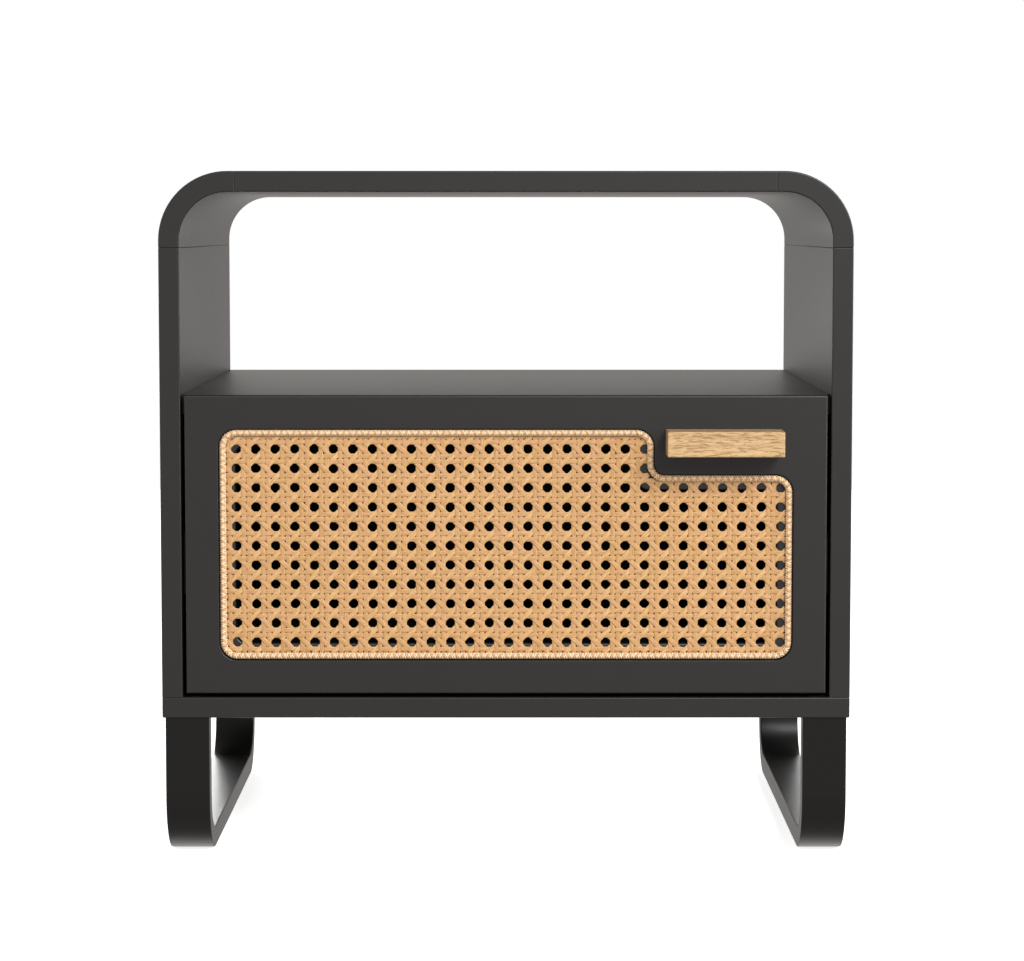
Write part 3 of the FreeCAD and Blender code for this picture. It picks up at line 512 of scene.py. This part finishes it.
def windowPath(inset, spacing):
    # the window's outline drawn in by inset: straight runs and quarter circles, as evenly spaced
    # points, with the distance round, the points and the outward normals
    low = np.array(windowLow) + inset
    high = np.array(windowHigh) - inset
    notch = np.array(notchCorner) - inset
    corners = np.array([
        (low[0], low[1]), (high[0], low[1]), (high[0], notch[1]), (notch[0], notch[1]),
        (notch[0], high[1]), (low[0], high[1]),
    ])
    radii = np.full(6, window["radius"] - inset)
    radii[3] = window["notchRadius"] + inset
    heading = np.roll(corners, -1, axis=0) - corners
    heading /= np.linalg.norm(heading, axis=1)[:, None]
    before = np.roll(heading, 1, axis=0)
    points = []
    for corner, radius, into, away in zip(corners, radii, before, heading):
        centre = corner - into * radius + away * radius
        turn = np.linspace(0, math.pi / 2, 33)[:, None]
        points.append(centre - away * radius * np.cos(turn) + into * radius * np.sin(turn))
    points = np.concatenate(points + [points[0][:1]])
    steps = np.linalg.norm(np.diff(points, axis=0), axis=1)
    points = points[np.concatenate([[True], steps > 1e-9])]
    along = np.concatenate([[0], np.cumsum(np.linalg.norm(np.diff(points, axis=0), axis=1))])
    count = int(round(along[-1] / spacing))
    at = np.arange(count) * along[-1] / count
    x = np.interp(at, along, points[:, 0])
    z = np.interp(at, along, points[:, 1])
    ahead = np.stack([np.roll(x, -1) - np.roll(x, 1), np.roll(z, -1) - np.roll(z, 1)], axis=1)
    ahead /= np.linalg.norm(ahead, axis=1)[:, None]
    normal = np.stack([ahead[:, 1], -ahead[:, 0]], axis=1)
    return at, along[-1], np.stack([x, z], axis=1), normal


def insideWindow(x, z, inset):
    low = np.array(windowLow) + inset
    high = np.array(windowHigh) - inset
    notched = (x > notchCorner[0] - inset) & (z > notchCorner[1] - inset)
    return (x >= low[0]) & (x <= high[0]) & (z >= low[1]) & (z <= high[1]) & ~notched


def tubeFaces(count, around, closed):
    # quads of a tube with `count` rings of `around` points, the last ring joined to the first if closed
    ring = np.arange(count if closed else count - 1)[:, None]
    side = np.arange(around)[None, :]
    following = (ring + 1) % count
    turned = (side + 1) % around
    quads = np.stack([ring * around + side, ring * around + turned, following * around + turned,
                      following * around + side], axis=-1)
    return quads.reshape(-1, 4)


class Strands:
    # gathers many tubes and makes one mesh of them
    def __init__(self):
        self.points = []
        self.quads = []
        self.caps = []
        self.uv = []
        self.tone = []
        self.total = 0

    def add(self, points, quads, uv, tone, caps):
        self.points.append(points)
        self.quads.append(quads + self.total)
        self.uv.append(uv)
        self.tone.append(np.full(len(points), tone, np.float32))
        self.caps += [cap + self.total for cap in caps]
        self.total += len(points)

    def make(self, name, material, body, slot, stands):
        points = np.concatenate(self.points)
        quads = np.concatenate(self.quads)
        mesh = bpy.data.meshes.new(name)
        capStart = len(quads) * 4
        capSizes = [len(cap) for cap in self.caps]
        loops = np.concatenate([quads.ravel(), *self.caps]) if self.caps else quads.ravel()
        starts = np.concatenate([np.arange(len(quads)) * 4, capStart + np.cumsum([0] + capSizes)[:-1]])
        mesh.vertices.add(len(points))
        mesh.vertices.foreach_set("co", points.astype(np.float32).ravel())
        mesh.loops.add(len(loops))
        mesh.loops.foreach_set("vertex_index", loops.astype(np.int32))
        mesh.polygons.add(len(starts))
        mesh.polygons.foreach_set("loop_start", starts.astype(np.int32))
        mesh.update(calc_edges=True)
        mesh.validate()
        layer = mesh.uv_layers.new(name="along")
        uv = np.concatenate(self.uv)[loops]
        layer.data.foreach_set("uv", uv.astype(np.float32).ravel())
        tone = mesh.attributes.new("tone", "FLOAT", "POINT")
        tone.data.foreach_set("value", np.concatenate(self.tone))
        mesh.polygons.foreach_set("use_smooth", np.ones(len(mesh.polygons), bool))
        mesh.materials.append(material)
        piece = bpy.data.objects.new(name, mesh)
        bpy.context.scene.collection.objects.link(piece)
        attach(piece, body)
        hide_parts(*stands)
        print(name, len(mesh.polygons), "faces")


cane = {
    "pitch": 0.01408,            # opening to opening
    "shiftX": 0.0019,            # middle opening to the window's middle
    "shiftZ": -0.001,
    "pairOffset": 0.142,         # strand centre to the pair's middle, in pitches
    "pairWidth": 0.244,
    "slantWidth": 0.25,
    "thick": 0.00034,
    "lift": 0.00032,             # rise and fall of the slanting strands
    "pairLift": 0.0002,
    "endInset": 0.0041,          # strands end under the trim, this far inside the window
    "wander": 0.00016,           # small sideways unevenness
    "steps": 10,                 # rings to a pitch
    "seed": 7,
    # colours, from the darkest streak to the palest strand
    "brown": (0.26, 0.120, 0.047),
    "honey": (0.475, 0.258, 0.082),
    "pink": (0.55, 0.302, 0.146),
    "cream": (0.72, 0.470, 0.205),
    # the strands that rise to the right are painted paler, a painted highlight for the glint they catch
    # where they lie on top
    "glintHoney": (0.545, 0.310, 0.104),
    "glintPink": (0.60, 0.355, 0.168),
    "glintCream": (0.84, 0.620, 0.315),
}
caneMiddle = (
    (windowLow[0] + windowHigh[0]) / 2 + cane["shiftX"],
    (windowLow[1] + windowHigh[1]) / 2 + cane["shiftZ"],
)
caneDepth = (caneLow.y + caneHigh.y) / 2
random = np.random.default_rng(cane["seed"])


def strandProfile(around=8):
    # flat underside and a low crowned top: across from -1 to 1 and up from -0.5 to 0.5
    angle = np.arange(around) / around * 2 * math.pi + math.pi / around
    across = np.sign(np.cos(angle)) * np.abs(np.cos(angle)) ** 0.6
    up = 0.5 * np.sign(np.sin(angle)) * np.abs(np.sin(angle)) ** 0.8
    return across, up


def addStrand(strands, start, heading, span, width, heightAt, serial):
    # a strand on the line start + s * heading in pitches; heightAt gives its rise at each point
    pitch = cane["pitch"]
    s = np.arange(span[0], span[1], 1 / cane["steps"])
    middle = start[None, :] + s[:, None] * heading[None, :]
    world = middle * pitch + np.array(caneMiddle)
    inside = insideWindow(world[:, 0], world[:, 1], cane["endInset"])
    edges = np.flatnonzero(np.diff(np.concatenate([[0], inside.astype(int), [0]])))
    across, up = strandProfile()
    sideways = np.array([-heading[1], heading[0]]) / np.linalg.norm(heading)
    for first, last in zip(edges[::2], edges[1::2]):
        if last - first < 3:
            continue
        piece = slice(first, last)
        count = last - first
        phase = random.uniform(0, 2 * math.pi, 3)
        drift = np.sin(s[piece] * 2.1 + phase[0]) + 0.6 * np.sin(s[piece] * 5.3 + phase[1])
        breadth = width * pitch / 2 * (1 + 0.05 * np.sin(s[piece] * 3.7 + phase[2]))
        x = world[piece, 0] + drift * cane["wander"] * sideways[0]
        z = world[piece, 1] + drift * cane["wander"] * sideways[1]
        rise = heightAt(middle[piece])
        ring = np.zeros((count, len(across), 3))
        ring[:, :, 0] = x[:, None] + sideways[0] * breadth[:, None] * across
        ring[:, :, 2] = z[:, None] + sideways[1] * breadth[:, None] * across
        ring[:, :, 1] = caneDepth - rise[:, None] - up * cane["thick"]
        length = np.linalg.norm(heading) * pitch
        uv = np.zeros((count, len(across), 2))
        uv[:, :, 0] = (s[piece] * length)[:, None] + serial * 0.37
        uv[:, :, 1] = (across * width * pitch / 2)[None, :] + serial * 0.011
        around = len(across)
        caps = [np.arange(around)[::-1], (count - 1) * around + np.arange(around)]
        strands.add(ring.reshape(-1, 3), tubeFaces(count, around, False), uv.reshape(-1, 2),
                    random.random(), caps)


def weave(value):
    # rises and dips once in a pitch, level at the openings' middles and halfway between them
    return np.sin(2 * math.pi * (value - 0.5))


strandLook = {
    "patches": (60, 500, 1),     # soft patches along a strand and across it
    "streaks": (160, 3000, 1),
    "toneShare": 0.4,            # how far a strand's own tone sways it between honey and pink
    # low and high of what the streaks become, and the streaks' values where that is reached
    "creamRange": (0.0, 0.7, 0.55, 1.0),
    "brownRange": (0.0, 0.75, 0.4, 0.0),
    "rough": (0.5, 0.36),
    "depth": 0.00008,
}


def makeCaneMaterial(name, brown, honey, pink, cream):
    # long streaks follow each strand; the strand's own tone picks between honey and pink
    material, tree, shader, place = newMaterial(name, Specular_IOR_Level=0.5)
    uv = addNode(tree, "ShaderNodeUVMap", uv_map="along").outputs["UV"]
    tone = addNode(tree, "ShaderNodeAttribute", attribute_name="tone").outputs["Fac"]
    patches = useFibre(tree, uv, strandLook["patches"], 3.0, 1.1)
    streaks = useFibre(tree, uv, strandLook["streaks"], 4.0, 1.2)
    share = strandLook["toneShare"]
    strandTone = addNode(tree, "ShaderNodeMath", {0: tone, 1: share, 2: -share / 2},
                         operation="MULTIPLY_ADD")
    blend = addNode(tree, "ShaderNodeMath", {0: strandTone.outputs[0], 1: patches},
                    operation="ADD", use_clamp=True).outputs[0]
    base = mixColour(tree, blend, honey, pink)
    pale = rangeOf(tree, streaks, *strandLook["creamRange"])
    base = mixColour(tree, pale, base, cream)
    dark = rangeOf(tree, streaks, *strandLook["brownRange"])
    tree.links.new(mixColour(tree, dark, base, brown), shader.inputs["Base Color"])
    rough = rangeOf(tree, streaks, *strandLook["rough"])
    tree.links.new(rough, shader.inputs["Roughness"])
    addBump(tree, shader, streaks, strandLook["depth"])
    return material


def makeCane():
    material = makeCaneMaterial("caneStrands", cane["brown"], cane["honey"], cane["pink"],
                                cane["cream"])
    # a paler copy of the cane colours, a painted highlight for the rising strands
    pale = makeCaneMaterial("glintCaneStrands", cane["brown"], cane["glintHoney"], cane["glintPink"],
                            cane["glintCream"])
    columns = int((windowHigh[0] - windowLow[0]) / cane["pitch"] / 2) + 2
    rows = int((windowHigh[1] - windowLow[1]) / cane["pitch"] / 2) + 2
    offset = cane["pairOffset"]
    lift = cane["lift"]
    pairLift = cane["pairLift"]

    upright = Strands()
    flat = Strands()
    # upright pairs stand between the openings' columns; the left strand of a pair rises where the
    # right one dips
    for i in range(-columns, columns):
        for side in (-1, 1):
            start = np.array([i + 0.5 + side * offset, 0.0])
            addStrand(upright, start, np.array([0.0, 1.0]), (-rows, rows), cane["pairWidth"],
                      lambda at, side=side: -side * pairLift * weave(at[:, 1]), len(upright.points) + 1)
    for k in range(-rows, rows):
        for side in (-1, 1):
            start = np.array([0.0, k + 0.5 + side * offset])
            addStrand(flat, start, np.array([1.0, 0.0]), (-columns, columns), cane["pairWidth"],
                      lambda at, side=side: side * pairLift * weave(at[:, 0]), len(flat.points) + 101)
    # slanting strands cross midway between neighbouring openings: one set is on top between
    # openings side by side, and the other between openings one above the other
    falling = Strands()
    rising = Strands()
    for c in range(-columns - rows, columns + rows):
        start = np.array([0.0, c + 0.5])
        addStrand(falling, start, np.array([1.0, -1.0]), (-columns, columns), cane["slantWidth"],
                  lambda at: lift * np.cos(2 * math.pi * (at[:, 0] - 0.5)), len(falling.points) + 201)
        addStrand(rising, start, np.array([1.0, 1.0]), (-columns, columns), cane["slantWidth"],
                  lambda at: -lift * np.cos(2 * math.pi * (at[:, 0] - 0.5)), len(rising.points) + 301)
    upright.make("cane_upright_strands", material, "drawer", "cane", ["cane_panel"])
    flat.make("cane_level_strands", material, "drawer", "cane", [])
    falling.make("cane_falling_strands", material, "drawer", "cane", [])
    rising.make("cane_rising_strands", pale, "drawer", "cane", [])


makeCane()

braid = {
    "strands": 5,
    "repeat": 0.0090,            # length in which a strand crosses over and comes back
    "halfWidth": 0.00255,        # of the whole braid
    "height": 0.0030,
    "spread": 1.4,               # how far round the half-round core the strands reach, in radians
    "strandHalf": 0.00064,
    "strandThick": 0.00034,
    "rise": 0.00028,
    "ringsPerRepeat": 26,
    "around": 6,                 # points round a strand and round the core
    "coreAround": 10,
    # colours of the darker and of the paler strands, from the darkest streak to the palest; the paler
    # strands are partly the cord's own lighter tone and partly a painted highlight, their near-white
    # streaks painted glints
    "dark": ((0.36, 0.19, 0.08), (0.60, 0.35, 0.16), (0.68, 0.43, 0.24), (0.86, 0.65, 0.42)),
    "pale": ((0.60, 0.38, 0.20), (0.88, 0.63, 0.36), (0.93, 0.71, 0.48), (1.0, 0.93, 0.80)),
}


def makeBraid():
    # each strand swings from side to side over a half-round core once in a repeat, and rises and
    # dips four times; the five share the repeat evenly, so they pass over and under in turn
    dark = makeCaneMaterial("braidDark", *braid["dark"])
    pale = makeCaneMaterial("braidPaleGlint", *braid["pale"])
    spacing = braid["repeat"] / braid["ringsPerRepeat"]
    at, total, points, normal = windowPath(window["trimGap"] + braid["halfWidth"], spacing)
    repeats = round(total / braid["repeat"])
    thick = braid["strandThick"]
    outX = braid["halfWidth"] - thick - braid["rise"]
    outY = braid["height"] - thick - braid["rise"]
    pieces = [Strands() for _ in range(braid["strands"])]

    def addTube(strands, swing, rise, halfWide, halfThick, serial, tone):
        # swing is the angle round the core, rise the height over it
        side = outX * np.sin(swing)
        up = outY * np.cos(swing)
        slant = np.gradient(side, at)
        wide = halfWide * np.sqrt(1 + slant ** 2)
        away = np.stack([outY * np.sin(swing), outX * np.cos(swing)], axis=1)
        away /= np.linalg.norm(away, axis=1)[:, None]
        around = braid["around"]
        angle = np.arange(around) / around * 2 * math.pi
        across = np.cos(angle)[None, :] * wide[:, None]
        lift = rise[:, None] + np.sin(angle)[None, :] * halfThick
        level = side[:, None] + across * away[:, 1, None] + lift * away[:, 0, None]
        depth = up[:, None] - across * away[:, 0, None] + lift * away[:, 1, None]
        level = np.clip(level, -braid["halfWidth"], braid["halfWidth"])
        ring = np.zeros((len(at), around, 3))
        ring[:, :, 0] = points[:, 0, None] + normal[:, 0, None] * level
        ring[:, :, 2] = points[:, 1, None] + normal[:, 1, None] * level
        ring[:, :, 1] = trimHigh.y - np.clip(depth, 0, braid["height"])
        uv = np.zeros((len(at), around, 2))
        uv[:, :, 0] = at[:, None]
        uv[:, :, 1] = (angle * 0.0004)[None, :] + side[:, None] * 0.6 + serial * 0.05
        strands.add(ring.reshape(-1, 3), tubeFaces(len(at), around, True), uv.reshape(-1, 2), tone, [])

    # the core is a plain half-round, drawn as one wide low tube
    coreAround = braid["coreAround"]
    angle = np.arange(coreAround) / (coreAround - 1) * math.pi - math.pi / 2
    core = np.zeros((len(at), coreAround, 3))
    level = np.sin(angle) * (outX - 0.5 * thick)
    core[:, :, 0] = points[:, 0, None] + normal[:, 0, None] * level
    core[:, :, 2] = points[:, 1, None] + normal[:, 1, None] * level
    core[:, :, 1] = trimHigh.y - np.cos(angle) * (outY - 0.5 * thick)
    uv = np.zeros((len(at), coreAround, 2))
    uv[:, :, 0] = at[:, None]
    uv[:, :, 1] = level[None, :]
    middle = Strands()
    middle.add(core.reshape(-1, 3), tubeFaces(len(at), coreAround, True), uv.reshape(-1, 2), 0.0, [])
    middle.make("cane_braid_core", dark, "drawer", "cane_braid", ["cane_trim"])
    for k, strands in enumerate(pieces):
        phase = at / total * repeats * 2 * math.pi + k * 2 * math.pi / braid["strands"]
        swing = braid["spread"] * np.sin(phase)
        rise = braid["rise"] * np.sin((braid["strands"] - 1) * phase)
        addTube(strands, swing, rise, braid["strandHalf"], thick, k, random.random())
        # every other strand takes the paler colours, partly the cord's own tone and partly a painted
        # highlight
        material = pale if k % 2 == 0 else dark
        strands.make(f"cane_braid_strand_{k + 1}", material, "drawer", "cane_braid", [])


makeBraid()

bpy.context.view_layer.update()
